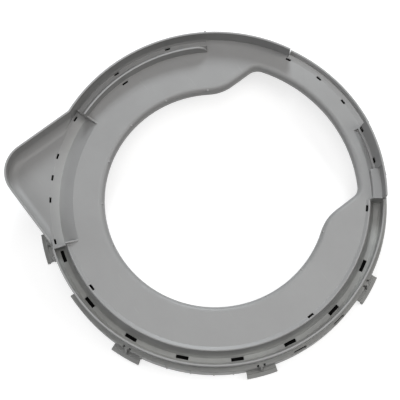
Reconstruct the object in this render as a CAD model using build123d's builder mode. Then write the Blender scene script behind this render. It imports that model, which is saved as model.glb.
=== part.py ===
from build123d import *
from math import cos, degrees, radians, sin
import os

# Washer tub cover: one injection moulding in grey plastic that snaps onto the rim of the outer tub
# of a top-loading washer. The frame is the machine's: the origin is on the tub's axis at the height
# of the skirt's lower edge, +Z points up and +Y to the back of the machine. Angles are in degrees,
# counted from +X towards +Y.

# Rings, from the rim wall outwards and inwards
wall = 2.8
rim_r = 273.5
tub_rim_gap = 4.2
skirt_r = rim_r + tub_rim_gap + wall
gutter_width = 18.2
gutter_in_r = rim_r - wall - gutter_width
gutter_batter = 2.5
deck_edge_r = gutter_in_r - gutter_batter
deck_edge_width = 2.0
deck_edge_slope = 5.0
deck_flat_r = deck_edge_r - deck_edge_width - deck_edge_slope
deck_lap = 1.0
seam_lap = 0.05

# Heights above the skirt's lower edge
gutter_z = 42.0
deck_z = gutter_z + 23.0
deck_edge_z = deck_z + 2.5
gutter_rim_z = deck_edge_z + 0.5
lip_bottom_z = deck_z - 16.0
back_rim_z = deck_z + 8.0
high_rim_z = deck_z + 29.0

# Wash opening: a circle with a wider bulge towards the back
opening_r = 179.5
bulge_r = deck_flat_r - 10.0
bulge_half_width = 136.0
bulge_shoulder_r = 70.0
bulge_corner_r = 22.0
opening_roll_r = 9.0

# Gutter, and the raised land and hollow past its right-hand end
gutter_start = 250.9
gutter_end = 411.1
gutter_bed = 5.8
raised_start = 51.1
raised_end = 61.9
raised_z = deck_z + 8.0
hollow_end = 78.4
hollow_width = 8.5
hollow_depth = 4.5

# Rim walls: the foot of each leaning wall is inside its top
side_foot = 6.7
back_foot = 15.0
left_wall_start = 115.4
left_wall_end = 203.0

# Fence on the left, with a sloping channel behind it
fence_wall = 2.8
fence_r = deck_edge_r - deck_lap
fence_start = 145.4
fence_end = 200.5
fence_height = 21.0
fence_nose_r = fence_height - 0.5
channel_width = 10.0
channel_depth = 7.0
rim_cove = 2.4

# Trough in front of the corner pocket, and the pocket
trough_start = 199.9
trough_fall = 21.0
trough_crease_r = deck_edge_r - trough_fall
trough_valley_r = gutter_in_r + 0.5
trough_depth = 12.0
trough_valley_z = deck_z - trough_depth
pocket_floor_z = trough_valley_z + trough_depth / 2
pocket_band = 13.5
pocket_slot_r = trough_valley_r + pocket_band
pocket_left_x = -(rim_r - 21.5)
pocket_front_y = -(rim_r - 17.5)
pocket_corner_r = 50.0
pocket_floor_fillet = 14.0
pocket_reach = 86.0
gusset_height = 9.0
gusset_wall = 2.5

# Drain slots: length along the ring, width across it
large_slot = (20.0, 5.7)
small_slot = (9.0, 3.3)
deck_slot = (10.8, 3.6)
slot_depth = 8.0
large_slot_angles = [253.6 + 19.13 * number for number in range(8)]
back_slot_angles = [65.3, 77.4, 89.7, 101.9, 115.0]
left_slot_angles = [159.8, 180.4]
pocket_slot_angles = [202.4, 217.45, 225.5, 233.55, 248.6]
deck_slot_angles = [0, 47.5, 180, 270]

# Skirt, with its openings and stiffening ribs
skirt_start = 267.0
skirt_end = 184.0
skirt_opening = (22.0, 4.4)
skirt_opening_angles = [7.3, 351.2]
skirt_rib_angles = [297.5, 306.4, 314.4, 322.0, 328.4]
skirt_rib = 1.2
skirt_rib_width = 2.0
deck_rib_wall = 2.2
deck_rib_pitch = 22.5

# Snap clips, with two root holes and a web each
clip_angles = [22.5, 67.5, 112.5, 157.5, 202.5, 247.5, 292.5, 337.5]
clip_width = 48.0
clip_reach = 11.5
clip_step = 4.5
clip_plate_z = 9.0
clip_wall = 3.0
clip_tooth = 2.0
clip_hole = (3.6, 4.4)
clip_hole_spread = 10.5
clip_web_wall = 3.0

BELOW = -5.0
ABOVE = 120.0


def radial_plane(angle):
    """Upright plane through the tub's axis, with x outwards and y up"""
    a = radians(angle)
    return Plane(origin=(0, 0, 0), x_dir=(cos(a), sin(a), 0), z_dir=(sin(a), -cos(a), 0))


def arc_angle(length, r):
    """Angle that a length takes along a ring of radius r"""
    return degrees(length / r)


def swept(points, start, end):
    """Part swept about the tub's axis from a closed section of (radius, height) points"""
    with BuildPart() as form:
        with BuildSketch(radial_plane(start)) as section:
            with BuildLine():
                Polyline(*points, close=True)
            make_face()
        revolve(section.sketch, axis=Axis.Z, revolution_arc=end - start)
    return form.part


def upright(points, angle, thickness, side):
    """Upright plate on a radial plane: side 0 is centred, 1 and -1 are towards larger and smaller angles"""
    with BuildPart() as form:
        with BuildSketch(radial_plane(angle)) as sheet:
            with BuildLine():
                Polyline(*points, close=True)
            make_face()
        if side == 0:
            extrude(sheet.sketch, amount=thickness / 2, both=True)
        else:
            extrude(sheet.sketch, amount=-side * thickness)
    return form.part


def opening_outline(growth, mode):
    """Wash opening: the circle, its bulge and the smooth shoulders between them"""
    half_width = bulge_half_width + growth
    with BuildSketch(mode=Mode.PRIVATE) as bulge:
        Circle(bulge_r + growth)
        with Locations((0, bulge_r)):
            Rectangle(2 * half_width, 2 * bulge_r, mode=Mode.INTERSECT)
    with BuildSketch(mode=Mode.PRIVATE) as outline:
        Circle(opening_r + growth)
        add(bulge.sketch)
        for level, radius in ((-1, bulge_corner_r + growth), (0, bulge_shoulder_r - growth)):
            sides = outline.vertices().filter_by(lambda v: abs(abs(v.X) - half_width) < 0.01)
            fillet(sides.group_by(Axis.Y)[level], radius=radius)
    add(outline.sketch, mode=mode)


def deck_form(inset, foot_z, out_r):
    """Flat deck as a block: its outside with a rolled opening edge, or its hollow with a bevel"""
    with BuildPart() as form:
        with BuildSketch(Plane.XY.offset(foot_z)) as outline:
            Circle(out_r)
            opening_outline(inset, mode=Mode.SUBTRACT)
        extrude(outline.sketch, amount=deck_z - inset - foot_z)
        opening_edges = form.faces().sort_by(Axis.Z)[-1].inner_wires()[0].edges()
        if inset > 0:
            chamfer(opening_edges, length=opening_roll_r * 0.4)
        else:
            fillet(opening_edges, radius=opening_roll_r)
    return form.part


def skirt_corners(has_skirt):
    """Corners of the shoulder outside the rim and of the skirt below it, down and back in"""
    seat_z = gutter_z - wall
    if not has_skirt:
        return [(rim_r, seat_z), (rim_r - wall, seat_z)]
    return [
        (rim_r, gutter_z),
        (skirt_r - wall / 3, gutter_z),
        (skirt_r, gutter_z - wall / 3),
        (skirt_r, 0),
        (skirt_r - wall, 0),
        (skirt_r - wall, seat_z),
        (rim_r - wall, seat_z),
    ]


def upright_rim(top, under, rim_top_z, has_skirt=True):
    """Closed section of a stretch of floor whose rim wall stands upright"""
    rim = [(rim_r - wall, rim_top_z), (rim_r, rim_top_z)]
    return top + rim + skirt_corners(has_skirt) + under


def gutter_floor(has_skirt):
    """Deep gutter with a rounded bed, and a raised edge on the deck's side"""
    out_r = rim_r - wall
    top = [
        (deck_flat_r - deck_lap, deck_z),
        (deck_flat_r, deck_z),
        (deck_edge_r - deck_edge_width, deck_edge_z),
        (deck_edge_r - deck_edge_width / 4, deck_edge_z - deck_edge_width / 5),
        (deck_edge_r, deck_edge_z - deck_edge_width / 2),
        (gutter_in_r, gutter_z + 2 * gutter_bed),
        (gutter_in_r + 0.4 * gutter_bed, gutter_z + 0.7 * gutter_bed),
        (gutter_in_r + gutter_bed, gutter_z),
        (out_r - 0.9 * gutter_bed, gutter_z),
        (out_r - 0.3 * gutter_bed, gutter_z + 0.4 * gutter_bed),
        (out_r, gutter_z + 1.5 * gutter_bed),
    ]
    under = [
        (gutter_in_r + 0.85 * gutter_bed, gutter_z - wall),
        (gutter_in_r, gutter_z + 0.45 * gutter_bed),
        (gutter_in_r - wall, gutter_z + 1.8 * gutter_bed),
        (deck_edge_r - wall, deck_edge_z - wall),
        (deck_edge_r - deck_edge_width - wall / 2, deck_edge_z - wall),
        (deck_flat_r, deck_z - wall),
        (deck_flat_r - deck_lap, deck_z - wall),
    ]
    return upright_rim(top, under, gutter_rim_z, has_skirt)


def deck_floor(rim_top_z, has_skirt=True):
    """Land at the deck's height with an upright rim"""
    top = [(deck_flat_r - deck_lap, deck_z), (rim_r - wall, deck_z)]
    under = [(rim_r - wall, deck_z - wall), (deck_flat_r - deck_lap, deck_z - wall)]
    return upright_rim(top, under, rim_top_z, has_skirt)


def channel_floor(has_skirt):
    """Land behind the fence, with a channel that slopes down to the fence"""
    in_r, out_r = fence_r + fence_wall, fence_r + fence_wall + channel_width
    top = [
        (deck_flat_r - deck_lap, deck_z),
        (in_r, deck_z),
        (in_r, deck_z - channel_depth),
        (out_r, deck_z),
        (rim_r - wall - rim_cove, deck_z),
        (rim_r - wall, deck_z + 2 * rim_cove),
    ]
    under = [
        (rim_r - wall, deck_z - wall),
        (out_r + wall / 2, deck_z - wall),
        (fence_r, deck_z - channel_depth - 1.4 * wall),
        (fence_r, deck_z - wall),
        (deck_flat_r - deck_lap, deck_z - wall),
    ]
    return upright_rim(top, under, high_rim_z, has_skirt)


def raised_floor():
    """Raised land at the right-hand end of the gutter, with a leaning rim wall"""
    foot_r = rim_r - wall - side_foot / 3
    top = [
        (deck_flat_r - deck_lap, deck_z),
        (gutter_in_r, deck_z),
        (gutter_in_r + wall / 2, raised_z - wall / 3),
        (gutter_in_r + wall, raised_z),
        (foot_r, raised_z),
    ]
    under = [
        (rim_r - wall, raised_z),
        (foot_r, raised_z - wall),
        (gutter_in_r + 1.4 * wall, raised_z - wall),
        (gutter_in_r + wall, deck_z - wall),
        (deck_flat_r - deck_lap, deck_z - wall),
    ]
    return upright_rim(top, under, high_rim_z)


def hollow_floor():
    """Shallow hollow between the raised land and the back, with a leaning rim wall"""
    foot_r = rim_r - wall - side_foot
    out_r = gutter_in_r + hollow_width
    hollow_z = deck_z - hollow_depth
    top = [
        (deck_flat_r - deck_lap, deck_z),
        (gutter_in_r, deck_z),
        (out_r - 1, hollow_z),
        (out_r, deck_z),
        (foot_r, deck_z),
    ]
    under = [
        (rim_r - wall, (deck_z + high_rim_z) / 2),
        (foot_r + wall, deck_z - wall),
        (out_r + wall, deck_z - wall),
        (out_r + wall / 2, hollow_z - wall),
        (gutter_in_r, deck_z - wall),
        (deck_flat_r - deck_lap, deck_z - wall),
    ]
    return upright_rim(top, under, high_rim_z)


def back_floor():
    """Land at the back, whose low rim leans out as far as the skirt"""
    foot_r = skirt_r - back_foot
    inside = skirt_r - 1.5 * wall
    return [
        (deck_flat_r - deck_lap, deck_z),
        (foot_r, deck_z),
        (skirt_r - 0.4 * back_foot, deck_z + 0.3 * (back_rim_z - deck_z)),
        (skirt_r - wall, back_rim_z),
        (skirt_r - wall / 4, back_rim_z),
        (skirt_r, back_rim_z - wall / 4),
        (skirt_r, 0),
        (skirt_r - wall, 0),
        (skirt_r - wall, gutter_z - wall),
        (inside, gutter_z - wall),
        (inside, back_rim_z - 1.6 * wall),
        (foot_r + wall / 3, deck_z - wall),
        (deck_flat_r - deck_lap, deck_z - wall),
    ]


def trough_floor(rim_top_z, has_skirt=False):
    """Trough that falls away from a crease in the deck and rises again to the pocket"""
    top = [
        (trough_crease_r - deck_lap, deck_z),
        (trough_crease_r, deck_z),
        (trough_valley_r, trough_valley_z),
        (pocket_slot_r, pocket_floor_z),
    ]
    if rim_top_z > pocket_floor_z:
        top += [(rim_r - wall, pocket_floor_z), (rim_r - wall, rim_top_z)]
    under = [
        (rim_r - wall, pocket_floor_z - wall),
        (pocket_slot_r, pocket_floor_z - wall),
        (trough_valley_r, trough_valley_z - wall),
        (trough_crease_r, deck_z - wall),
        (trough_crease_r - deck_lap, deck_z - wall),
    ]
    return top + [(rim_r, rim_top_z)] + skirt_corners(has_skirt) + under


def pocket_form(inset, floor_z, floor_fillet):
    """Corner pocket as a block whose lower edge is rounded, clear of the ring inside it"""
    left, front = pocket_left_x + inset, pocket_front_y + inset
    with BuildPart() as form:
        with BuildSketch(Plane.XY.offset(floor_z)) as outline:
            with BuildLine():
                FilletPolyline(
                    (left, -pocket_reach),
                    (left, front),
                    (-pocket_reach, front),
                    (-pocket_reach, -pocket_reach),
                    radius=(0, pocket_corner_r - inset, 0, 0),
                    close=True,
                )
            make_face()
        extrude(outline.sketch, amount=high_rim_z - floor_z + inset)
        floor_edges = form.edges().group_by(Axis.Z)[0]
        outer_edges = floor_edges.filter_by(
            lambda edge: min((edge @ 0.5).X - left, (edge @ 0.5).Y - front) < pocket_corner_r / 2
        )
        fillet(outer_edges, radius=floor_fillet)
    return form.part


def slots(size, ring_r, angles, top_z, depth):
    """Slots cut down from a height, their length along the ring"""
    length, width = size
    for angle in angles:
        with BuildSketch(Plane.XY.offset(top_z)) as hole:
            with PolarLocations(ring_r, 1, start_angle=angle):
                Rectangle(width, length)
        extrude(hole.sketch, amount=-depth, clean=False, mode=Mode.SUBTRACT)


def clip(angle, hangs_alone):
    """Snap clip: a plate out from the skirt that ends in a toothed lip, under a stiffening web"""
    half = arc_angle(clip_width / 2, skirt_r)
    root_r = skirt_r - wall / 2
    reach_r = skirt_r + clip_reach
    step_r = skirt_r + clip_step
    section = [
        (step_r, clip_plate_z + clip_wall),
        (step_r + 1, clip_plate_z + clip_wall / 3),
        (reach_r, clip_plate_z),
        (reach_r, 0),
        (reach_r - clip_wall, 0),
        (reach_r - clip_wall - clip_tooth, clip_tooth),
        (reach_r - clip_wall, 2 * clip_tooth),
        (reach_r - clip_wall, clip_plate_z - clip_wall),
    ]
    if hangs_alone:
        section += [
            (skirt_r, clip_plate_z - clip_wall),
            (skirt_r, 0),
            (skirt_r - wall, 0),
            (skirt_r - wall, gutter_z - wall),
            (rim_r - wall / 2, gutter_z - wall),
            (rim_r - wall / 2, gutter_z),
            (skirt_r, gutter_z),
            (skirt_r, clip_plate_z + clip_wall),
        ]
    else:
        section += [(root_r, clip_plate_z - clip_wall), (root_r, clip_plate_z + clip_wall)]
    web = [
        (root_r, gutter_z - wall / 2),
        (skirt_r + wall / 2, gutter_z - wall / 2),
        (step_r + 1, clip_plate_z + clip_wall / 2),
        (root_r, clip_plate_z + clip_wall / 2),
    ]
    return [swept(section, angle - half, angle + half), upright(web, angle, clip_web_wall, 0)]


# Ring around the deck, stretch by stretch
stretches = [
    (gutter_start, skirt_start, gutter_floor(False)),
    (skirt_start, gutter_end, gutter_floor(True)),
    (raised_start, raised_end, raised_floor()),
    (raised_end, hollow_end, hollow_floor()),
    (hollow_end, left_wall_start, back_floor()),
    (left_wall_start, fence_start, deck_floor(high_rim_z)),
    (fence_start, skirt_end, channel_floor(True)),
    (skirt_end, trough_start, channel_floor(False)),
    (trough_start, left_wall_end, trough_floor(high_rim_z)),
    (left_wall_end, gutter_start, trough_floor(pocket_floor_z)),
]
with BuildPart() as ring:
    for start, end, points in stretches:
        add(swept(points, start, end + seam_lap), clean=False)

# Upright webs that close the steps between the stretches: (angle, side, inner r, foot z, top z)
rim_mid = rim_r - wall / 2
steps = [
    (raised_start, 1, gutter_in_r, gutter_z - wall / 2, raised_z - wall / 2),
    (raised_end, -1, gutter_in_r + wall, deck_z - wall / 2, raised_z - wall / 2),
    (left_wall_start, 1, fence_r, gutter_z - wall / 2, deck_z - wall / 2),
    (hollow_end, -1, fence_r, gutter_z - wall / 2, deck_z - 1.5 * wall),
    (gutter_start, -1, gutter_in_r, gutter_z - wall / 2, pocket_floor_z - wall / 2),
]

# Triangular gussets that close the trough's ends, and the small one behind the fence
gusset_r = fence_r + fence_wall / 2
gusset = [
    (trough_crease_r, deck_z),
    (gusset_r, deck_z + gusset_height),
    (gusset_r, trough_valley_z - wall / 2),
    (trough_crease_r, deck_z - wall / 2),
]
channel_end = [
    (gusset_r, trough_valley_z - wall / 2),
    (gusset_r, deck_z - channel_depth),
    (fence_r + fence_wall, deck_z - channel_depth),
    (fence_r + fence_wall + channel_width, deck_z + 1),
    (rim_mid, deck_z - wall / 2),
    (rim_mid, pocket_floor_z - wall / 2),
    (pocket_slot_r, pocket_floor_z - wall / 2),
    (trough_valley_r, trough_valley_z - wall / 2),
]

deck_outside = deck_form(0, lip_bottom_z, deck_flat_r - deck_lap / 2)
deck_hollow = deck_form(wall, BELOW, deck_flat_r + deck_lap)
pocket_outside = pocket_form(0, pocket_floor_z - wall, pocket_floor_fillet + wall)
pocket_inside = pocket_form(wall, pocket_floor_z, pocket_floor_fillet)

with BuildPart() as pocket:
    add(pocket_outside)
    add(pocket_inside, mode=Mode.SUBTRACT)
    Cylinder(rim_r - wall, 3 * ABOVE, mode=Mode.SUBTRACT)

fence_section = [
    (fence_r, deck_z - wall / 2),
    (fence_r + fence_wall, deck_z - wall / 2),
    (fence_r + fence_wall, deck_z + fence_height),
    (fence_r, deck_z + fence_height),
]
with BuildPart() as fence:
    add(swept(fence_section, fence_start, fence_end))
    nose = fence.faces().filter_by(GeomType.PLANE).sort_by(Axis.X)[-1].edges().sort_by(Axis.Z)[-1]
    fillet(nose, radius=fence_nose_r)

with BuildPart() as tub_cover:
    add(deck_outside)
    add(deck_hollow, clean=False, mode=Mode.SUBTRACT)
    trough_room = [
        (trough_crease_r - deck_lap / 2, BELOW),
        (deck_flat_r, BELOW),
        (deck_flat_r, ABOVE),
        (trough_crease_r - deck_lap / 2, ABOVE),
    ]
    add(swept(trough_room, trough_start, gutter_start), clean=False, mode=Mode.SUBTRACT)
    add(ring.part, clean=False)

    for angle, side, in_r, foot_z, top_z in steps:
        web = [(in_r, foot_z), (rim_mid, foot_z), (rim_mid, top_z), (in_r, top_z)]
        add(upright(web, angle, wall, side), clean=False)
    add(upright(channel_end, trough_start, wall, -1), clean=False)

    add(pocket.part, clean=False)
    add(fence.part, clean=False)
    add(upright(gusset, trough_start, gusset_wall, 0), clean=False)
    add(upright(gusset, gutter_start, gusset_wall, 0), clean=False)

    # Small lug outside the left rim wall, and stiffening ribs on the skirt
    lug = [
        (rim_mid, high_rim_z - 10),
        (rim_r + wall, high_rim_z - 7),
        (rim_r + wall, high_rim_z - 2),
        (rim_mid, high_rim_z - 2),
    ]
    add(upright(lug, fence_start + 0.5, wall, 0), clean=False)
    skirt_rib_section = [
        (skirt_r - wall / 2, gutter_z / 20),
        (skirt_r + skirt_rib, gutter_z / 20),
        (skirt_r + skirt_rib, gutter_z - wall),
        (skirt_r - wall / 2, gutter_z - wall),
    ]
    for angle in skirt_rib_angles:
        add(upright(skirt_rib_section, angle, skirt_rib_width, 0), clean=False)
    for angle in clip_angles:
        for piece in clip(angle, skirt_end < angle < skirt_start):
            add(piece, clean=False)

    # Ribs under the deck, from the opening's lip outwards
    with BuildSketch(Plane.XY.offset(lip_bottom_z)) as deck_ribs:
        with PolarLocations(0, round(360 / deck_rib_pitch), start_angle=deck_rib_pitch / 2):
            with Locations((deck_edge_r / 2, 0)):
                Rectangle(deck_edge_r, deck_rib_wall)
        Circle(trough_crease_r, mode=Mode.INTERSECT)
        opening_outline(wall / 2, mode=Mode.SUBTRACT)
    extrude(deck_ribs.sketch, amount=deck_z - wall / 2 - lip_bottom_z, clean=False)

    # Drain slots, skirt openings and the clips' root holes
    back_slot_r = skirt_r - back_foot
    slots(large_slot, rim_r - wall - gutter_width / 2, large_slot_angles, gutter_z + 1, slot_depth)
    slots(small_slot, back_slot_r, back_slot_angles, deck_z + slot_depth, 2 * slot_depth)
    slots(small_slot, pocket_slot_r, left_slot_angles, deck_z + slot_depth, 2 * slot_depth)
    slots(small_slot, pocket_slot_r, pocket_slot_angles, pocket_floor_z + 2, slot_depth)
    slots(deck_slot, deck_edge_r - 5, deck_slot_angles, deck_z + 4, slot_depth)
    slots(skirt_opening, skirt_r - wall / 2, skirt_opening_angles, gutter_z + 1, gutter_z / 3)
    for side in (-1, 1):
        spread = side * arc_angle(clip_hole_spread / 2, skirt_r)
        hole_angles = [angle + spread for angle in clip_angles]
        slots(clip_hole, skirt_r - wall / 2, hole_angles, gutter_z + 1, gutter_z / 3)

tub_cover.part.label = "tub_cover"
os.makedirs("parts", exist_ok=True)
export_step(tub_cover.part, "parts/tub_cover.step")
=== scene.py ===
import math

import bmesh
import bpy
from mathutils import Matrix, Vector


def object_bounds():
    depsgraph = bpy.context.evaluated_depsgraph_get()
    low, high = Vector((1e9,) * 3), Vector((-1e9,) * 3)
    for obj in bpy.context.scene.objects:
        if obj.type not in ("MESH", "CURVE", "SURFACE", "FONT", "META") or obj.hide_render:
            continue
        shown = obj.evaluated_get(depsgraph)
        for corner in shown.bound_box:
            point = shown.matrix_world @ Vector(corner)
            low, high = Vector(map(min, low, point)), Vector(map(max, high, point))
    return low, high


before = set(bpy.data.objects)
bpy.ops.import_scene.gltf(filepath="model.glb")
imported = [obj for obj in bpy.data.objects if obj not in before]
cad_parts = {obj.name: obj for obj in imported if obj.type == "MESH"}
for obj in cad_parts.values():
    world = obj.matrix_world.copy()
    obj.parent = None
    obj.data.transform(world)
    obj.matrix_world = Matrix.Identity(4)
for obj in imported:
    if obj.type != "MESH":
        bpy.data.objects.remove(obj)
cad_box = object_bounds()

# Camera
# The photograph looks almost straight down on the cover, turned by 52 degrees. The camera stands
# 1.7 m from the gutter's floor, 15 degrees off the tub's axis towards the picture's lower edge.
gutter_z = 0.042
view_distance = 1.701
view_lean = math.radians(14.9)
view_turn = math.radians(52.4)
view_lens = 93.7
view_shift = (-0.0378, -0.0012)
view_end = 20
aim = Vector((0, 0, gutter_z))
right = Vector((math.cos(view_turn), math.sin(view_turn), 0))
near_side = Vector((math.sin(view_turn), -math.cos(view_turn), 0))
back = near_side * math.sin(view_lean) + Vector((0, 0, math.cos(view_lean)))
up = back.cross(right)
camera_data = bpy.data.cameras.new("camera")
camera = bpy.data.objects.new("camera", camera_data)
bpy.context.scene.collection.objects.link(camera)
camera_data.sensor_width = 36
camera_data.lens = view_lens
camera_data.shift_x, camera_data.shift_y = view_shift
camera_data.clip_end = view_end
turned = Matrix((right, up, back)).transposed().to_4x4()
camera.matrix_world = Matrix.Translation(aim + back * view_distance) @ turned
bpy.context.scene.camera = camera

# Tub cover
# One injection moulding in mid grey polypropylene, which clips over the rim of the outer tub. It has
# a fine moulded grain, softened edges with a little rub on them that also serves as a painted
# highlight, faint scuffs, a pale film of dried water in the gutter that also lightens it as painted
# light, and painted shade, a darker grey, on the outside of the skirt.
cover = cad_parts["tub_cover"]
film_top = 0.058
rim_r = 0.2735
edge_radius = 0.0012
edge_agreement = 0.9
drift_range = (0.3, 0.7)
dark_grey = (0.272, 0.270, 0.269, 1)
pale_grey = (0.308, 0.306, 0.305, 1)
# The film's pale grey is partly painted light.
film_and_light_grey = (0.452, 0.462, 0.440, 1)
# The skirt's dark grey is painted shade.
skirt_shade_grey = (0.200, 0.198, 0.194, 1)
# The rubbed grey is partly wear and partly a painted highlight on the edges.
rub_and_highlight_grey = (0.43, 0.43, 0.42, 1)
scuffed_grey = (0.45, 0.45, 0.44, 1)
skirt_shade_strength = 0.45
rub_and_highlight_strength = 0.65
scuff_strength = 0.28
scuff_dulling = 0.2
gloss_range = (0.36, 0.48)


def placed(nodes, group):
    """A node group set down among a material's nodes"""
    node = nodes.new("ShaderNodeGroup")
    node.node_tree = group
    return node


def noise(tree, coordinates, scale, detail):
    """Noise node on the given coordinates"""
    cloud = tree.nodes.new("ShaderNodeTexNoise")
    cloud.inputs["Scale"].default_value = scale
    cloud.inputs["Detail"].default_value = detail
    tree.links.new(coordinates, cloud.inputs["Vector"])
    return cloud


def ramped(tree, value, start, end, low=0, high=1):
    """Low where the value is at start, high where it is at end, and even between them"""
    ramp = tree.nodes.new("ShaderNodeMapRange")
    ramp.inputs["From Min"].default_value = start
    ramp.inputs["From Max"].default_value = end
    ramp.inputs["To Min"].default_value = low
    ramp.inputs["To Max"].default_value = high
    tree.links.new(value, ramp.inputs["Value"])
    return ramp.outputs["Result"]


def times(tree, mask, factor):
    """A mask times another mask, or times a number"""
    product = tree.nodes.new("ShaderNodeMath")
    product.operation = "MULTIPLY"
    tree.links.new(mask, product.inputs[0])
    if isinstance(factor, float):
        product.inputs[1].default_value = factor
    else:
        tree.links.new(factor, product.inputs[1])
    return product.outputs["Value"]


def painted(tree, base, colour, mask):
    """A colour laid over the base, as far as the mask says"""
    paint = tree.nodes.new("ShaderNodeMix")
    paint.data_type = "RGBA"
    paint.inputs["B"].default_value = colour
    tree.links.new(mask, paint.inputs["Factor"])
    tree.links.new(base, paint.inputs["A"])
    return paint.outputs["Result"]


def embossed(tree, normal, height, depth, strength):
    """The normal with a relief of the given depth, in metres, put into it"""
    relief = tree.nodes.new("ShaderNodeBump")
    relief.inputs["Strength"].default_value = strength
    relief.inputs["Distance"].default_value = depth
    tree.links.new(height, relief.inputs["Height"])
    tree.links.new(normal, relief.inputs["Normal"])
    return relief.outputs["Normal"]


def ring_distance():
    """Group: distance from the tub's axis"""
    group = bpy.data.node_groups.new("ring_distance", "ShaderNodeTree")
    group.interface.new_socket("Radius", in_out="OUTPUT", socket_type="NodeSocketFloat")
    nodes, links = group.nodes, group.links
    out = nodes.new("NodeGroupOutput")
    place = nodes.new("ShaderNodeTexCoord")
    level = nodes.new("ShaderNodeVectorMath")
    level.operation = "MULTIPLY"
    level.inputs[1].default_value = (1, 1, 0)
    links.new(place.outputs["Object"], level.inputs[0])
    radius = nodes.new("ShaderNodeVectorMath")
    radius.operation = "LENGTH"
    links.new(level.outputs["Vector"], radius.inputs[0])
    links.new(radius.outputs["Value"], out.inputs["Radius"])
    return group


def soft_edges():
    """Group: the surface with its hard edges rounded over, and how near an edge each place is"""
    group = bpy.data.node_groups.new("soft_edges", "ShaderNodeTree")
    group.interface.new_socket("Normal", in_out="OUTPUT", socket_type="NodeSocketVector")
    group.interface.new_socket("Edge", in_out="OUTPUT", socket_type="NodeSocketFloat")
    nodes, links = group.nodes, group.links
    out = nodes.new("NodeGroupOutput")
    rounded = nodes.new("ShaderNodeBevel")
    rounded.samples = 6
    rounded.inputs["Radius"].default_value = edge_radius
    flat = nodes.new("ShaderNodeNewGeometry")
    agree = nodes.new("ShaderNodeVectorMath")
    agree.operation = "DOT_PRODUCT"
    links.new(rounded.outputs["Normal"], agree.inputs[0])
    links.new(flat.outputs["Normal"], agree.inputs[1])
    close = ramped(group, agree.outputs["Value"], start=1, end=edge_agreement)
    links.new(rounded.outputs["Normal"], out.inputs["Normal"])
    links.new(close, out.inputs["Edge"])
    return group


def scuffs():
    """Group: thin rub marks in two crossing directions, gathered in patches"""
    group = bpy.data.node_groups.new("scuffs", "ShaderNodeTree")
    group.interface.new_socket("Amount", in_out="OUTPUT", socket_type="NodeSocketFloat")
    nodes, links = group.nodes, group.links
    out = nodes.new("NodeGroupOutput")
    place = nodes.new("ShaderNodeTexCoord")
    both = nodes.new("ShaderNodeMath")
    both.operation = "MAXIMUM"
    turns_and_stretches = ((0.5, (20, 420, 60)), (-0.9, (26, 360, 60)))
    for number, (turn, stretch) in enumerate(turns_and_stretches):
        along = nodes.new("ShaderNodeMapping")
        along.inputs["Rotation"].default_value = (0, 0, turn)
        along.inputs["Scale"].default_value = stretch
        links.new(place.outputs["Object"], along.inputs["Vector"])
        stroke = noise(group, along.outputs["Vector"], scale=1, detail=2)
        links.new(stroke.outputs["Fac"], both.inputs[number])
    thin = ramped(group, both.outputs["Value"], start=0.66, end=0.76)
    patch = noise(group, place.outputs["Object"], scale=17, detail=3)
    handled = ramped(group, patch.outputs["Fac"], start=0.5, end=0.66)
    links.new(times(group, thin, handled), out.inputs["Amount"])
    return group


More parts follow.
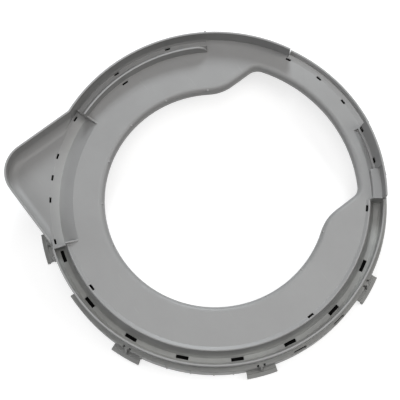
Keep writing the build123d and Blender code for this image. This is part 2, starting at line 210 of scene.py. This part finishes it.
def grey_plastic():
    """Satin grey plastic with a drifting tone, a water film that is partly painted light, rubbed edges
    that are partly painted highlight, painted shade on the skirt, scuffs and grain
    """
    material = bpy.data.materials.new("grey_moulded_plastic")
    material.use_nodes = True
    tree = material.node_tree
    nodes, links = tree.nodes, tree.links
    shader = nodes["Principled BSDF"]
    shader.inputs["Specular IOR Level"].default_value = 0.45
    place = nodes.new("ShaderNodeTexCoord").outputs["Object"]
    edges = placed(nodes, soft_edges())
    marks = placed(nodes, scuffs()).outputs["Amount"]

    # Colour: a slow drift of the grey
    drift = noise(tree, place, scale=9, detail=8)
    drift.inputs["Roughness"].default_value = 0.62
    tone = nodes.new("ShaderNodeValToRGB")
    for stop, position, grey in zip(tone.color_ramp.elements, drift_range, (dark_grey, pale_grey)):
        stop.position = position
        stop.color = grey
    links.new(drift.outputs["Fac"], tone.inputs["Fac"])

    # Water film, which grows towards the gutter's floor; its pale grey is partly a real film and partly
    # painted light that lightens the gutter
    height = nodes.new("ShaderNodeSeparateXYZ")
    links.new(place, height.inputs["Vector"])
    low = ramped(tree, height.outputs["Z"], start=film_top, end=gutter_z)
    water = noise(tree, place, scale=38, detail=5)
    water.inputs["Distortion"].default_value = 0.6
    film_and_light_mask = times(tree, low, water.outputs["Fac"])
    filmed_and_lit = painted(tree, tone.outputs["Color"], film_and_light_grey, film_and_light_mask)

    # Painted shade: a darker grey outside the rim wall and below the shoulder
    radius = placed(nodes, ring_distance()).outputs["Radius"]
    outside = ramped(tree, radius, start=rim_r, end=rim_r + 0.001, high=skirt_shade_strength)
    below = ramped(tree, height.outputs["Z"], start=gutter_z + 0.003, end=gutter_z + 0.001)
    skirt_shaded = painted(tree, filmed_and_lit, skirt_shade_grey, times(tree, outside, below))

    # Edge rub, partly wear and partly a painted highlight along the edges, and scuffs
    rub_and_highlight = times(tree, edges.outputs["Edge"], rub_and_highlight_strength)
    rubbed_and_highlighted = painted(tree, skirt_shaded, rub_and_highlight_grey, rub_and_highlight)
    scuffed = painted(tree, rubbed_and_highlighted, scuffed_grey, times(tree, marks, scuff_strength))
    links.new(scuffed, shader.inputs["Base Color"])

    # Gloss: satin, duller where the drift is pale and where the surface is scuffed
    dull = nodes.new("ShaderNodeMath")
    dull.operation = "MULTIPLY_ADD"
    dull.inputs[1].default_value = scuff_dulling
    links.new(marks, dull.inputs[0])
    links.new(ramped(tree, drift.outputs["Fac"], *drift_range, *gloss_range), dull.inputs[2])
    links.new(dull.outputs["Value"], shader.inputs["Roughness"])

    # Relief: a slight waviness and the mould's grain
    sink = noise(tree, place, scale=30, detail=2).outputs["Fac"]
    wavy = embossed(tree, edges.outputs["Normal"], sink, depth=0.0006, strength=0.25)
    grain = noise(tree, place, scale=1600, detail=3).outputs["Fac"]
    grained = embossed(tree, wavy, grain, depth=0.00015, strength=0.2)
    links.new(grained, shader.inputs["Normal"])
    return material


cover.material_slots[0].material = grey_plastic()

# Floor
# A white studio floor, just under the skirt. It is bright to the camera and in reflections, so that
# the cover's shadow on it stays faint, and dark to all other light, so that little comes up from it.
floor_z = cad_box[0][2] - 0.0005
floor_reach = 6
floor_bounce = (0.03, 0.03, 0.03, 1)
floor_white = (0.45, 0.45, 0.45, 1)
floor_glow = 0.72
floor_mesh = bpy.data.meshes.new("floor")
floor = bpy.data.objects.new("floor", floor_mesh)
bpy.context.scene.collection.objects.link(floor)
sheet = bmesh.new()
bmesh.ops.create_grid(sheet, x_segments=2, y_segments=2, size=floor_reach)
bmesh.ops.translate(sheet, vec=(0, 0, floor_z), verts=sheet.verts)
sheet.to_mesh(floor_mesh)
sheet.free()


def white_floor():
    """White that shows to the camera and in reflections only"""
    material = bpy.data.materials.new("white_floor")
    material.use_nodes = True
    tree = material.node_tree
    nodes, links = tree.nodes, tree.links
    shader = nodes["Principled BSDF"]
    shader.inputs["Roughness"].default_value = 1
    shader.inputs["Specular IOR Level"].default_value = 0
    shader.inputs["Emission Color"].default_value = (1, 1, 1, 1)
    ray = nodes.new("ShaderNodeLightPath")
    mirrored = nodes.new("ShaderNodeMath")
    links.new(ray.outputs["Is Glossy Ray"], mirrored.inputs[0])
    links.new(ray.outputs["Is Transmission Ray"], mirrored.inputs[1])
    seen = nodes.new("ShaderNodeMath")
    seen.use_clamp = True
    links.new(ray.outputs["Is Camera Ray"], seen.inputs[0])
    links.new(mirrored.outputs["Value"], seen.inputs[1])
    colour = nodes.new("ShaderNodeMix")
    colour.data_type = "RGBA"
    colour.inputs["A"].default_value = floor_bounce
    colour.inputs["B"].default_value = floor_white
    links.new(seen.outputs["Value"], colour.inputs["Factor"])
    links.new(colour.outputs["Result"], shader.inputs["Base Color"])
    glow = times(tree, seen.outputs["Value"], floor_glow)
    links.new(glow, shader.inputs["Emission Strength"])
    return material


floor_mesh.materials.append(white_floor())

# Dark card, painted shade
# Rings of black card are painted shade: they are held close under the slots, so that these show
# dark, and one lies on the floor under the front of the skirt as a painted shadow. They stay inside
# the cover's outline. Each row gives where a ring starts and ends, in degrees, its inner and outer
# radius, and its height.
painted_shade_black = (0.008, 0.008, 0.008, 1)
card_step = 3
painted_shade_rings = {
    "gutter slots": (249, 411, 0.2560, 0.2702, 0.0370),
    "left deck slot": (174, 186, 0.2400, 0.2472, 0.0622),
    "front deck slots": (261, 411, 0.2400, 0.2472, 0.0622),
    "back slots": (56, 128, 0.2580, 0.2702, 0.0600),
    "left slots": (146, 200, 0.2610, 0.2702, 0.0600),
    "pocket slots": (201, 250, 0.2605, 0.2740, 0.0530),
    # A painted shadow on the floor at the foot of the skirt
    "skirt foot shadow": (268, 412, 0.2700, 0.2792, floor_z + 0.0002),
}
card_mesh = bpy.data.meshes.new("painted_shade_card")
card = bpy.data.objects.new("painted_shade_card", card_mesh)
bpy.context.scene.collection.objects.link(card)
cut = bmesh.new()
for start, end, inside, outside, height in painted_shade_rings.values():
    turn = math.radians(start)
    heading = Vector((math.cos(turn), math.sin(turn), 0))
    ends = [cut.verts.new(heading * reach + Vector((0, 0, height))) for reach in (inside, outside)]
    geom = [*ends, cut.edges.new(ends)]
    sweep = math.radians(end - start)
    steps = (end - start) // card_step
    bmesh.ops.spin(cut, geom=geom, axis=(0, 0, 1), angle=sweep, steps=steps)
cut.to_mesh(card_mesh)
cut.free()
painted_shade_material = bpy.data.materials.new("painted_shade_material")
painted_shade_material.use_nodes = True
card_shader = painted_shade_material.node_tree.nodes["Principled BSDF"]
card_shader.inputs["Base Color"].default_value = painted_shade_black
card_shader.inputs["Roughness"].default_value = 1
card_shader.inputs["Specular IOR Level"].default_value = 0
card_mesh.materials.append(painted_shade_material)

# Light
# Five soft round lamps, all aimed at the tub's axis: one overhead, three round the right, near left
# and left, and one beyond the cover, which puts a sheen on what faces it. The room adds very little.
lamp_distance = 3
room_glow = 0.04


def soft_lamp(name, heading, height, width, watts, colour):
    """Soft lamp; heading 0 is the picture's right and 90 its far side, height is its rise in degrees"""
    data = bpy.data.lights.new(name, "AREA")
    data.shape = "DISK"
    data.size = width
    data.energy = watts
    data.color = colour
    lamp = bpy.data.objects.new(name, data)
    bpy.context.scene.collection.objects.link(lamp)
    turn, rise = math.radians(heading), math.radians(height)
    level = right * math.cos(turn) - near_side * math.sin(turn)
    lamp.location = (level * math.cos(rise) + Vector((0, 0, math.sin(rise)))) * lamp_distance
    lamp.rotation_euler = lamp.location.to_track_quat("Z", "Y").to_euler()


soft_lamp("overhead", 60, 86, 2, 29, (1, 0.99, 0.98))
soft_lamp("right_side", 355, 42, 1.6, 31, (1, 0.99, 0.97))
soft_lamp("far_side", 86, 35, 1, 56, (0.92, 0.97, 1))
soft_lamp("near_left", 235, 48, 1.6, 17, (1, 1, 1))
soft_lamp("left_side", 185, 28, 2, 16, (0.94, 0.97, 1))
world = bpy.data.worlds.new("room")
bpy.context.scene.world = world
world.use_nodes = True
room = world.node_tree.nodes["Background"]
room.inputs["Color"].default_value = (1, 1, 1, 1)
room.inputs["Strength"].default_value = room_glow

bpy.context.scene.view_settings.view_transform = "Standard"
